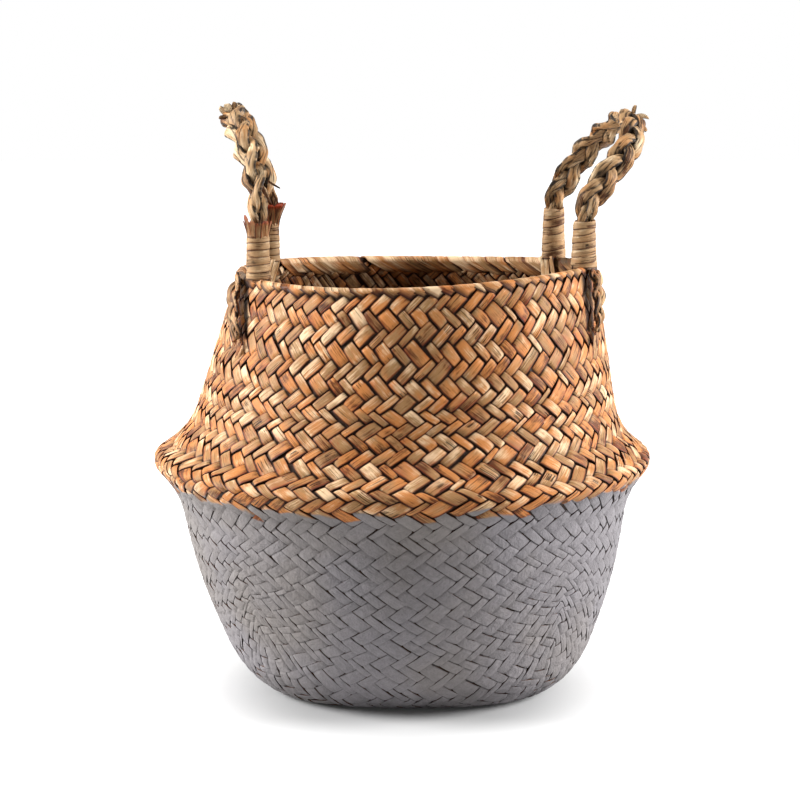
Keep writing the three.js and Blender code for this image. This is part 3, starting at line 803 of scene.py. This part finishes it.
def lay_strip(strips, way, lane, start, end, splits=False, fold=None):
    """Lays one stretch of a mat strip on the basket, from one place of its run to another.

    With splits it may be two narrow strips side by side. With fold, the random draws of the folds, it is bent
    over the rim.
    """
    if end - start < 0.3:
        return
    habit = HABITS[way, lane]
    rising = is_rising(way, lane, start + end)
    run = ring_places(start, end)[:, None]
    if fold is not None and abs(start) > abs(end):
        run = run[::-1]
    height = weave_height(way, lane, run)
    level = abs(lane) + np.abs(run) - MAT_HALF
    painted = 1 - soft_step(27, 33, level)
    float_height = FLOAT_HEIGHT + (PAINTED_FLOAT_HEIGHT - FLOAT_HEIGHT) * painted
    float_at = float_middle(way, lane, run)
    own_tone, own_width, own_place = habit["floats"][:, (float_at + 100).astype(int)]
    width = strip_width(habit, rising, run, height, level, painted, float_at, own_width)
    middle = (habit["wander"].at(run) + 0.03 * own_place) * (1 - 0.6 * painted)
    thick = STRIP_THICKNESS / 2 + PILLOW * (1 - ACROSS ** 2)
    parts = ((-0.26, 0.46), (0.26, 0.46)) if habit["double"] and splits else ((0.0, 1.0),)
    for number, (offset, share) in enumerate(parts):
        side = middle + width * (offset + 0.5 * share * ACROSS)
        lift = habit["lift"].at(run + 40 * number) * (1 - 0.5 * painted)
        tilt = habit["tilt"].at(run + 17 * number)
        out = float_height * height + thick * THROUGH + lift + tilt * ACROSS
        out = np.clip(out, -FARTHEST_OUT, FARTHEST_OUT)
        azimuth, arc = mat_place(way, lane, lane + side, np.broadcast_to(run, side.shape))
        upper = 1.0 if (arc[:, 2] - arc[:, 0]).mean() > 0 else -1.0
        facing = height * np.where(THROUGH > 0, 1.0, -1.0)
        outer = 1.0 * (THROUGH >= 0)
        tone = habit["shift"].at(run) + 0.075 * own_tone
        length = run * CROSSING_PITCH
        across = side * STRIP_PITCH * habit["breadth"]
        if fold is not None:
            azimuth = azimuth - FOLD_LEAN * (np.clip(level - 60.7, 0, 1.6) / 1.6) ** 2
            out = out + (FOLD_RADIUS - float_height) * soft_step(61.2, 62.0, level) * (height > 0)
            azimuth, arc, out = rim_fold(azimuth, arc, out, upper, fold)
            bends, drops = np.arange(1, FOLD_BENDS + 1), np.arange(1, FOLD_DROPS + 1)
            extra = FOLD_BENDS + FOLD_DROPS
            facing, tone, across = (lengthened(rows, extra) for rows in (facing, tone, across))
            facing[-extra:-2] = 1.0
            facing[-2:] = 0.4
            # The part that drops inside the basket counts as inside: unpainted, and darker with painted shade
            outer = np.ones_like(facing)
            outer[-FOLD_DROPS - 1:] = np.linspace(0.5, 0, FOLD_DROPS + 1)[:, None]
            # A painted highlight: the fold is paler where it bends over the rim
            tone[-extra:-FOLD_DROPS] += 0.14
            more = np.r_[bends * 0.8, FOLD_BENDS * 0.8 + drops][:, None]
            length = np.concatenate([length, length[-1:] + np.sign(run[-1] - run[0]) * more])
        elif rising:
            arc = np.minimum(arc, RIM_ARC - 0.9)
        # Painted shade where the strip dips under the others, less of it on painted falling strips
        shade = np.clip(1 - facing / 0.72, 0, 1)
        if fold is None and not rising:
            shade = shade * (1 - 0.6 * painted)
        shade = np.maximum(shade, handle_shadow(azimuth, arc))
        if fold is not None:
            # Painted shade on the side of each fold that lies under its neighbour, lighter where it bends
            # over the rim
            under = np.where(ACROSS * upper < -0.5, 1.0, np.where(ACROSS == 0, 0.33, 0.0))
            row = np.arange(len(shade))[:, None]
            after_bend = row - len(shade) + FOLD_DROPS
            bent = (after_bend > -6) & (after_bend < 1)
            shade = np.maximum(shade, under * np.where(bent, 0.45, row > 2))
        elif rising:
            # Painted shade on the tops of rising strips, where they go under the rim's folds
            shade = np.maximum(shade, soft_step(60.7, 61.8, level))
        place = habit["place"] + 60 * number
        tone = habit["tone"] + 0.1 * number + tone
        stain = soft_step(0.35, 1.0, habit["stain"].at(length / CROSSING_PITCH))
        stain = stain * (0.25 + 0.75 * (ACROSS * upper < -0.5))
        warmth = habit["warmth"] + habit["warming"].at(length / CROSSING_PITCH)
        strips.add(
            on_wall(azimuth, arc, out), across + place, length + place, tone, shade, outer, warmth, stain,
            ACROSS * upper, CORNERS,
        )


def weave_wall():
    """Lays both ends of each strip up the wall, cut at the paint line, and then its middle in the mat."""
    chance = np.random.RandomState(91)
    pieces = {name: Strips() for name in (
        "base_weave", "lower_weave_rising", "lower_weave_falling",
        "upper_weave_rising", "upper_weave_falling", "rim_folds",
    )}
    for way, lane in HABITS:
        reach = MAT_HALF - abs(lane)
        ends = {}
        for sign in (-1, 1):
            rising = is_rising(way, lane, sign)
            slant = "rising" if rising else "falling"
            low, high = (cut + reach for cut in (RISING_CUTS if rising else FALLING_CUTS))
            ends[sign] = low
            top = run_at_arc(way, lane, sign, RIM_ARC - (RISING_END_BELOW if rising else FOLD_BELOW))
            fold_at = top if rising else FOLD_START_LEVEL + reach
            stretches = [
                (f"lower_weave_{slant}", low, high, False, None),
                (f"upper_weave_{slant}", high, fold_at, True, None),
                ("rim_folds", fold_at, top, False, chance),
            ]
            for name, start, end, splits, fold in stretches:
                if sign < 0:
                    start, end = -end, -start
                lay_strip(pieces[name], way, lane, start, end, splits, fold)
        lay_strip(pieces["base_weave"], way, lane, -ends[-1], ends[1])
    return {
        name: strips.make(name, natural_leaf if name.startswith(("upper", "rim")) else painted_leaf)
        for name, strips in pieces.items()
    }


CORE_HALF = 0.12


def shade_sheet_core():
    """A thin dark sheet in the middle of the wall, painted shade that is seen only between the strips."""
    azimuths = np.linspace(0, 360, 97)[:-1]
    arcs = np.r_[np.linspace(3, FLOOR_RADIUS - 4, 12), np.linspace(FLOOR_RADIUS, RIM_ARC - 1.0, 64)][:, None]
    rows = np.concatenate([on_wall(azimuths, arcs, CORE_HALF), on_wall(azimuths, arcs[::-1], -CORE_HALF)])
    strips = Strips()
    strips.add(rows, azimuths * 2, np.arange(len(rows))[:, None] * 4.0, 0.4, 0.0)
    return strips.make("weave_core", shadowed_leaf)


# The handles

HINGES = {j["name"].replace("_handle_flex", ""): np.array(j["pos_m"]) / MM for j in frame["joints"]}

# The trimmed leaf ends that stand out of each plait: how far round the loop they start, from where beside its
# middle, which way they go and curl, their half width, tone and length
LOOSE_LEAVES = {
    "left": (
        (0.52, (1.0, -2.0, 0.5), (0.12, 0.0, 1.0), (0.0, 0.0, 0.0), 1.4, 0.3, 7.0),
        (0.52, (-1.0, -2.6, 0.0), (-0.12, 0.0, 1.0), (-0.1, 0.0, 0.0), 2.6, 0.95, 6.5),
        (0.52, (-2.4, -2.3, 1.0), (-0.8, 0.0, 0.55), (0.1, 0.0, 0.3), 1.6, 0.85, 5.0),
        (0.54, (-3.0, -4.0, 0.0), (-1.0, 0.0, 0.1), (0.0, 0.0, -0.3), 1.2, 0.15, 3.8),
        (0.50, (2.0, 0.0, 2.0), (0.7, 0.0, 0.6), (0.0, 0.0, -0.5), 1.3, 0.6, 6.5),
        (0.205, (2.0, -4.0, 0.0), (0.85, 0.0, -0.55), (0.0, 0.0, 0.1), 0.6, -0.3, 8.5),
        (0.175, (3.5, -4.0, 0.0), (0.45, 0.0, -0.85), (0.1, 0.0, -0.5), 0.6, -0.3, 7.5),
        (0.19, (-2.0, -5.0, 0.0), (0.35, 0.0, -0.9), (0.2, 0.0, 0.0), 1.0, -0.1, 11.0),
    ),
    "right": (
        (0.46, (-2.0, -3.5, 1.5), (0.15, 0.0, -1.0), (-0.1, 0.0, 0.1), 2.1, 0.75, 8.0),
        (0.48, (1.5, -2.0, 3.0), (0.1, 0.0, 1.0), (0.3, 0.0, 0.0), 1.2, 0.5, 4.5),
        (0.47, (3.5, -2.0, 1.5), (0.8, 0.0, 0.3), (0.0, 0.0, -0.9), 1.5, 0.7, 6.5),
        (0.45, (3.0, -3.0, 0.0), (0.7, 0.0, -0.7), (0.0, 0.0, -0.2), 1.3, 0.6, 6.5),
        (0.55, (-3.0, -2.0, 2.0), (-0.8, 0.0, 0.3), (0.0, 0.0, -0.3), 1.2, 0.1, 5.0),
    ),
}
LEAF_FACES = np.array([0.15, -1.0, 0.1])

# A plait's sizes: how far its strands swing sideways and lift, and half a strand's width and thickness
HANDLE_PLAIT, TAIL_PLAIT = (4.3, 2.3, 3.7, 1.9), (3.4, 1.2, 3.1, 1.4)
PLAIT_PERIODS = 3.1
STRAND_POINTS = 24
LEAF_SEAMS = (1.0, 2.0, 4.2, 5.2)
FOOT_GAP = 0.6


def turned(azimuth, lean, vector):
    """vector turned by the lean about Y and then by the azimuth about Z, as in the part's source."""
    a, b = math.radians(azimuth), math.radians(lean)
    x, y, z = (vector[..., i] for i in range(3))
    x, z = x * math.cos(b) + z * math.sin(b), -x * math.sin(b) + z * math.cos(b)
    return np.stack([x * math.cos(a) - y * math.sin(a), x * math.sin(a) + y * math.cos(a), z], -1)


def evenly(points, step):
    lengths = along_path(points)
    places = np.linspace(0, lengths[-1], int(round(lengths[-1] / step)) + 1)
    return np.stack([np.interp(places, lengths, column) for column in points.T], -1), places


def square_to(vectors, along):
    """The part of some directions that is square to others, as unit vectors."""
    return unit(vectors - (vectors * along).sum(-1, keepdims=True) * along)


def plait(strips, path, across, periods, sizes, slim, chance, tone, stain):
    """Three strands plaited along a path, each of a few flat leaves. slim narrows them on their way."""
    swing, lift, half_width, half_thickness = sizes
    slim = slim[:, None]
    along = unit(np.gradient(path, axis=0))
    wide = square_to(across, along)
    deep = np.cross(along, wide)
    length = along_path(path)[:, None]
    angle = np.linspace(0, 2 * math.pi, STRAND_POINTS, endpoint=False)
    edge = np.clip((np.abs(np.cos(angle)) - 0.72) / 0.2, 0, 1)
    for strand in range(3):
        turn = (2 * math.pi * periods + strand * 2 * math.pi / 3)[:, None]
        centre = path + wide * (swing * slim * np.sin(turn)) + deep * (lift * slim * np.sin(2 * turn))
        ahead = unit(np.gradient(centre, axis=0))
        flat_wide = square_to(wide, ahead)
        flat_deep = np.cross(ahead, flat_wide)
        roll = Waver(chance, (33, 14), 0.22).at(length) + 0.3 * np.sin(turn)
        own_wide = flat_wide * np.cos(roll) + flat_deep * np.sin(roll)
        own_deep = flat_deep * np.cos(roll) - flat_wide * np.sin(roll)
        bulge = 1 + Waver(chance, (19, 7.7), 0.09).at(length)
        seams = leaf = np.zeros((len(path), STRAND_POINTS))
        for start in LEAF_SEAMS:
            seam = start + Waver(chance, (37, 16), 0.5).at(length) + chance.uniform(-0.3, 0.3)
            away = np.abs(np.mod(angle - seam + math.pi, 2 * math.pi) - math.pi)
            strength = soft_step(-1.2, -0.2, Waver(chance, (23, 9), 0.8).at(length))
            seams = np.maximum(seams, strength * np.clip(1 - away / 0.32, 0, 1))
            leaf = leaf + (angle > seam) * chance.normal(0, 0.12)
        radius = (1 - 0.16 * seams) * (bulge * slim)
        ring = own_wide[:, None] * (half_width * radius * np.cos(angle))[..., None]
        ring = ring + own_deep[:, None] * (half_thickness * radius * np.sin(angle))[..., None]
        shown = tone + leaf + Waver(chance, (53, 23, 11), 0.12).at(length)
        outward = (ring * (centre - path)[:, None]).sum(-1) / (half_width * swing)
        buried = np.clip(-outward * 1.1 - 0.05, 0, 1)
        ragged = Waver(chance, (13, 5.1, 2.3), 0.5).at(length)
        # Painted shade in the grooves along the leaf seams, at the strand's edges and where it passes under
        # the other strands
        shade = np.clip(seams + np.clip(0.9 + ragged, 0.3, 1) * edge + 1.35 * buried, 0, 1)
        place = chance.uniform(0, 900)
        warmth = 0.4 + Waver(chance, (29, 12), 0.4).at(length)
        red = np.clip(stain * edge * soft_step(0.0, 0.5, ragged), 0, 1)
        grid = centre[:, None] + ring
        strips.add(grid, angle * 2.6 + place, length + place, shown, shade, 1.0, warmth, red)


def handle_path(side, handle):
    """The way of a plait up one leg, round the loop and down the other, and how the plait lies on it."""
    hinge = HINGES[side]
    is_right = side == "right"
    first, second = (LEGS[f"{side}_{end}"] for end in (("front", "back") if is_right else ("back", "front")))
    half_span = np.hypot(*(first["middle"] - second["middle"])[:2]) / 2
    angle = np.linspace(0, math.pi, 181)
    front = (1 if is_right else -1) * np.cos(angle) > 0
    swell = handle["curl"] * np.sin(angle) ** 2 + handle["bow"] * front * np.sin(2 * angle) ** 2
    loop = np.stack([swell, -half_span * np.cos(angle), handle["height"] * np.sin(angle)], -1)
    loop = hinge + turned(handle["azimuth"], handle["lean"], loop)

    def straight_up(leg, top):
        return np.linspace([*top[:2], leg["low"] + FOOT_GAP], top, 30)[:-1]

    way = np.concatenate([straight_up(first, loop[0]), loop, straight_up(second, loop[-1])[::-1]])
    path, places = evenly(way, 0.8)
    path = np.stack([smoothed(column, 4) for column in path.T], -1)
    above = soft_step(hinge[2] - 6, hinge[2] + 16, path[:, 2])[:, None]
    outwards = np.array([1.0, 0, 0])
    upright, leaning = (turned(handle["azimuth"], lean, outwards) for lean in (0, handle["lean"]))
    across = unit(upright + (leaning - upright) * above)
    along = unit(np.gradient(path, axis=0))
    rolled = np.radians(handle["roll"]) * above
    across = across * np.cos(rolled) + np.cross(along, across) * np.sin(rolled)
    leg_length = loop[0][2] - first["low"]
    loop_length = places[-1] - leg_length - (loop[-1][2] - second["low"])
    periods = PLAIT_PERIODS * (places - leg_length) / loop_length
    slim = 0.62 + 0.38 * soft_step(hinge[2] - 7, hinge[2] + (9 if is_right else 26), path[:, 2])
    return path, across, periods, slim


def ribbon(
    strips, centre, wide, out, half_width, thickness, tone, chance,
    tilt=0.0, crown=0.1, warmth=0.5, stain=0.0,
):
    """A flat strip along centre: wide is its sideways direction and out the way its face looks."""
    wide, out = (np.broadcast_to(way, centre.shape)[:, None] for way in (wide, out))
    half = half_width[:, None]
    lift = (thickness / 2 + crown * (1 - ACROSS ** 2)) * THROUGH + tilt * ACROSS
    taper = np.clip(half / half.max(), 0.3, 1)
    grid = centre[:, None] + wide * (half * ACROSS)[..., None] + out * (lift * taper)[..., None]
    length = along_path(centre)[:, None]
    place = chance.uniform(0, 900)
    strips.add(grid, ACROSS * half + place, length + place, tone, 0.0, 1.0, warmth, stain, ACROSS, CORNERS)


def loose_leaf(strips, start, way, bend, half_width, tone, length, chance):
    """A leaf end that stands out of a plait, its face to the front: from start along way, curling by bend."""
    t = np.linspace(0, 1, 9)[:, None]
    way = unit(np.array(way))
    centre = start + length * (t * way + 0.5 * t ** 2 * np.array(bend))
    out = square_to(LEAF_FACES, way)
    half = half_width * (1 - 0.5 * t[:, 0] ** 6)
    ribbon(strips, centre, np.cross(out, way), out, half, 0.6, tone, chance, warmth=0.4)


def make_handles():
    pieces = {}
    for side, handle in HANDLES.items():
        chance = np.random.RandomState(7 if side == "left" else 19)
        strips = Strips()
        path, across, periods, slim = handle_path(side, handle)
        tone = 0.5 if side == "left" else 0.6
        plait(strips, path, across, periods, HANDLE_PLAIT, slim, chance, tone, stain=0.5)
        for share, shift, *leaf in LOOSE_LEAVES[side]:
            start = path[int(share * (len(path) - 1))] + np.array(shift)
            loose_leaf(strips, start, *leaf, chance)
        pieces[side] = strips.make(f"{side}_plait", straw_leaf)
    return pieces


# The lashings, the trimmed tips, and the ends outside and inside the rim

def round_leg(leg, angle, half_across, half_through):
    """A place on an oval round a leg, from the leg's middle, and the way out of the oval there."""
    turn = math.radians(HANDLES[leg["side"]]["azimuth"])
    outwards = np.array([math.cos(turn), math.sin(turn), 0])
    sideways = np.array([-math.sin(turn), math.cos(turn), 0])
    cosine, sine = np.cos(angle)[..., None], np.sin(angle)[..., None]
    place = outwards * half_across * cosine + sideways * half_through * sine
    return place, unit(outwards * cosine / half_across + sideways * sine / half_through)


UP = np.array([0.0, 0, 1])
LEVEL_BELOW, CLIMBING, LEVEL_ABOVE = 0.6, 5.6, 1.0
WRAP_TURNS = LEVEL_BELOW + CLIMBING + LEVEL_ABOVE
WRAP_STEPS = 30
WRAP_HALF_SIZES, TIPS_HALF_SIZES = (5.75, 4.5), (5.3, 4.3)
TIPS, TIPS_START = 11, 3.0


def wrap_leg(name, leg):
    """A flat strip wound round a leg, each turn lapping the one below it."""
    chance = seeded(name)
    strips = Strips()
    turn = np.linspace(0, WRAP_TURNS, int(WRAP_TURNS * WRAP_STEPS) + 1)
    angle = 2 * math.pi * turn + chance.uniform(0, 6)
    widening = (0.2 if leg["side"] == "right" else 0.1) * (1 - turn / WRAP_TURNS) ** 1.5
    bulge = 1 + 0.025 * Waver(chance, (1.0, 0.43, 2.7), 1.0).at(turn) + widening
    pinch = 1 - 0.06 * soft_step(WRAP_TURNS - 0.7, WRAP_TURNS, turn)
    low, high = leg["low"] + (0.4 if name.endswith("back") else 1.1), leg["high"] - 0.4
    height = low + (high - low) * np.clip((turn - LEVEL_BELOW) / CLIMBING, 0, 1) + 0.4 * np.sin(angle + 1.0)
    ring, out = round_leg(leg, angle, *WRAP_HALF_SIZES)
    centre = np.array([*leg["middle"][:2], 0]) + ring * (bulge * pinch)[:, None] + UP * height[:, None]
    half = (high - low) / CLIMBING * 0.56 * (1 + 0.1 * Waver(chance, (0.9, 0.37), 1.0).at(turn))
    half = half * (1 - 0.7 * soft_step(WRAP_TURNS - 0.25, WRAP_TURNS, turn))
    tone = 0.42 + 0.12 * Waver(chance, (1.3, 0.6, 3.1), 1.0).at(turn)[:, None]
    ribbon(strips, centre, UP, out, half, 0.6, tone, chance, tilt=-0.2, crown=0.08, warmth=0.3)
    return strips.make(f"{name}_wrap", straw_leaf)


def crown_tips(name, leg):
    """The trimmed strip ends that stand like a collar round the left handle's plait, above each wrapping."""
    chance = seeded(name, 5)
    strips = Strips()
    behind = name.endswith("back")
    dark, least, most = (0.2, 10.5, 13.0) if behind else (0.46, 8.6, 10.4)
    t = np.linspace(0, 1, 9)[:, None]
    for number in range(TIPS):
        angle = 2 * math.pi * (number + chance.uniform(-0.2, 0.2)) / TIPS
        around, out = round_leg(leg, angle, *TIPS_HALF_SIZES)
        foot = np.array([*leg["middle"][:2], leg["high"] - TIPS_START]) + around
        rise = chance.uniform(least, most) + 3.0 * (number == 1)
        lean = chance.uniform(1.2, 2.6) + 3.4 * behind
        swing = chance.uniform(-0.8, 0.8)
        beside = np.cross(UP, out)
        centre = foot + UP * (rise * t) + out * (lean * t ** 1.5) + beside * (swing * t ** 2)
        half = chance.uniform(1.7, 2.4) + 0.6 * behind
        half = half * (1 - 0.5 * t[:, 0] ** chance.uniform(8, 16))
        tone = chance.normal(dark, 0.1) - 0.2 * t ** 3
        stain = soft_step(0.7, 0.95, t) * chance.uniform(0.3, 1.0)
        ribbon(strips, centre, beside, out, half, 0.6, tone, chance, stain=stain, warmth=0.4)
    return strips.make(f"{name}_tips", dark_leaf)


def tail_plait(name, leg):
    """The end of the plait, brought outside below the rim and left as a short flat tail with loose ends."""
    chance = seeded(name, 11)
    strips = Strips()
    t = np.linspace(0, 1, 70)
    azimuth = tail_azimuth(leg, t)
    arc = RIM_ARC - 3.0 - (TAIL_LENGTH - 4.5) * t
    out = HALF_WALL + TAIL_OUT - 1.4 * soft_step(0.2, 0, t) - 1.2 * soft_step(0.75, 1, t)
    across, _ = wall_ways(azimuth, arc, out)
    slim = 1 - 0.4 * t ** 2
    plait(strips, on_wall(azimuth, arc, out), across, 1.0 * t + 0.1, TAIL_PLAIT, slim, chance, 0.66, 0.6)
    u = np.linspace(0, 1, 9)
    for number in range(4):
        place = azimuth[-1] - leg["towards"] * (number - 1.5) * 1.6
        down = RIM_ARC - TAIL_BELOW_RIM - (TAIL_LENGTH - 3) * (0.9 + 0.05 * number) - 8 * u
        centre = on_wall(place + 2.0 * u * chance.uniform(-1, 1), down, HALF_WALL + 2.4 - 1.3 * u)
        sideways, outwards = wall_ways(place, down, HALF_WALL + 2)
        half = 1.7 * (1 - u ** 2) + 0.15
        ribbon(strips, centre, sideways, outwards, half, 0.7, chance.normal(0.3, 0.12), chance)
    return strips.make(f"{name}_tail_plait", dark_leaf)


ENDS_LENGTH, ENDS_APART = 28.0, 2.1


def tucked_ends(name, leg):
    """Flat strip ends turned back down inside the rim, beside the leg."""
    chance = seeded(name, 23)
    strips = Strips()
    u = np.linspace(0, 1, 16)
    for number in range(3):
        azimuth = leg["azimuth"] + (number - 1) * ENDS_APART
        azimuth = azimuth + chance.uniform(-0.5, 0.5) + chance.uniform(-1.2, 1.2) * u
        arc = RIM_ARC + 2.2 - ENDS_LENGTH * u * chance.uniform(0.8, 1.0)
        out = -HALF_WALL - 2.4 - 0.35 * (number == 1) + 0.6 * u
        sideways, inwards = wall_ways(azimuth, arc, out, step=-1)
        half = 2.1 * (1 - 0.5 * u ** 4)
        centre = on_wall(azimuth, arc, out)
        ribbon(strips, centre, sideways, inwards, half, 0.8, chance.normal(0.6, 0.12), chance)
    return strips.make(f"{name}_tucked_ends", straw_leaf)


# Putting it together


def bend_with_handle(piece):
    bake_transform(piece)


weave = weave_wall()
weave["weave_core"] = shade_sheet_core()
handles = make_handles()

for piece in weave.values():
    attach(piece, "basket")
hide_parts("base_mat")
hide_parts("lower_wall")
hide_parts("upper_wall")
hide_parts("rim_border")

for side, piece in handles.items():
    bend_with_handle(piece)
    nodes = [f"{side}_plait_strand_{number}" for number in (1, 2, 3)]
    nodes += [f"{side}_{end}_leg" for end in ("front", "back")]
    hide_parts(*nodes)

for name, leg in LEGS.items():
    wrap = wrap_leg(name, leg)
    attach(wrap, "basket")
    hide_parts(f"{name}_lashing")
    if leg["side"] == "left":
        tips = crown_tips(name, leg)
        bend_with_handle(tips)
    tail = tail_plait(name, leg)
    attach(tail, "basket")
    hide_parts(f"{name}_tail")
    ends = tucked_ends(name, leg)
    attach(ends, "basket")
    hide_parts(f"{name}_inner_ends")


# Camera, floor and light, in metres

CAMERA_PLACE, CAMERA_TARGET = (-0.0011, -1.2020, 0.3457), (-0.0011, 0.0, 0.1553)
CAMERA_LENS = 97.83
LAMPS = (
    ("left", (-1.5, 0.0, 0.7), (0, 0, 0.12), 44),
    ("right", (1.5, 0.0, 0.65), (0, 0, 0.12), 40),
    ("top", (-0.05, -0.3, 1.9), (0, 0, 0.1), 12),
)
LAMP_SIZE = 0.8
WHITE = (1, 1, 1, 1)


def aim(piece, target):
    way = np.array(target) - np.array(piece.location)
    pitch = math.atan2(way[2], math.hypot(way[0], way[1]))
    heading = math.atan2(way[1], way[0])
    piece.rotation_euler = (math.pi / 2 + pitch, 0, heading - math.pi / 2)


def place_camera():
    camera = bpy.data.objects.new("camera", bpy.data.cameras.new("camera"))
    bpy.context.scene.collection.objects.link(camera)
    camera.location = CAMERA_PLACE
    aim(camera, CAMERA_TARGET)
    camera.data.lens = CAMERA_LENS
    camera.data.sensor_width = 36
    bpy.context.scene.camera = camera


def place_lamps():
    for name, place, target, power in LAMPS:
        bpy.ops.object.light_add(type="AREA", location=place)
        lamp = bpy.context.object
        lamp.name = name
        lamp.data.shape = "DISK"
        lamp.data.size = LAMP_SIZE
        lamp.data.energy = power
        aim(lamp, target)


def white_sweep():
    """A pale floor that glows white away from the basket. Nearer the basket the glow fades over an oval,
    centred a little in front and narrower from side to side: a painted shadow round the basket's real one.
    """
    material = bpy.data.materials.new("white_sweep")
    material.use_nodes = True
    nodes = Nodes(material.node_tree)
    inputs = material.node_tree.nodes["Principled BSDF"].inputs
    inputs["Base Color"].default_value = (0.6, 0.6, 0.6, 1)
    inputs["Roughness"].default_value = 0.9
    inputs["Specular IOR Level"].default_value = 0.1
    inputs["Emission Color"].default_value = WHITE
    painted_shadow_oval = nodes.new("ShaderNodeVectorMath", operation="MULTIPLY_ADD")
    painted_shadow_oval = nodes.fill(painted_shadow_oval, nodes.place(), (1.3, 1, 0), (0, 0.03, 0))
    away = nodes.fill(nodes.new("ShaderNodeVectorMath", operation="LENGTH"), painted_shadow_oval, output="Value")
    # Painted shadow: less glow close to the basket
    glow = away.soft_range(0.075, 0.16, 0.02, 0.55) + away.soft_range(0.14, 0.45, 0.0, 0.6)
    nodes.put(inputs["Emission Strength"], nodes.shown_plain() * glow)
    return material


def studio():
    bpy.ops.object.select_all(action="DESELECT")
    bpy.ops.mesh.primitive_plane_add(size=12, location=(0, 0, -0.0003))
    floor = bpy.context.object
    floor.name = "floor"
    floor.data.materials.append(white_sweep())
    world = bpy.data.worlds.new("studio")
    world.use_nodes = True
    bpy.context.scene.world = world
    nodes = Nodes(world.node_tree)
    background = world.node_tree.nodes["Background"].inputs
    nodes.put(background["Strength"], nodes.shown_plain().range(0, 1, 0.12, 1.0))
    background["Color"].default_value = WHITE


place_camera()
studio()
place_lamps()
bpy.context.scene.view_settings.view_transform = "Standard"
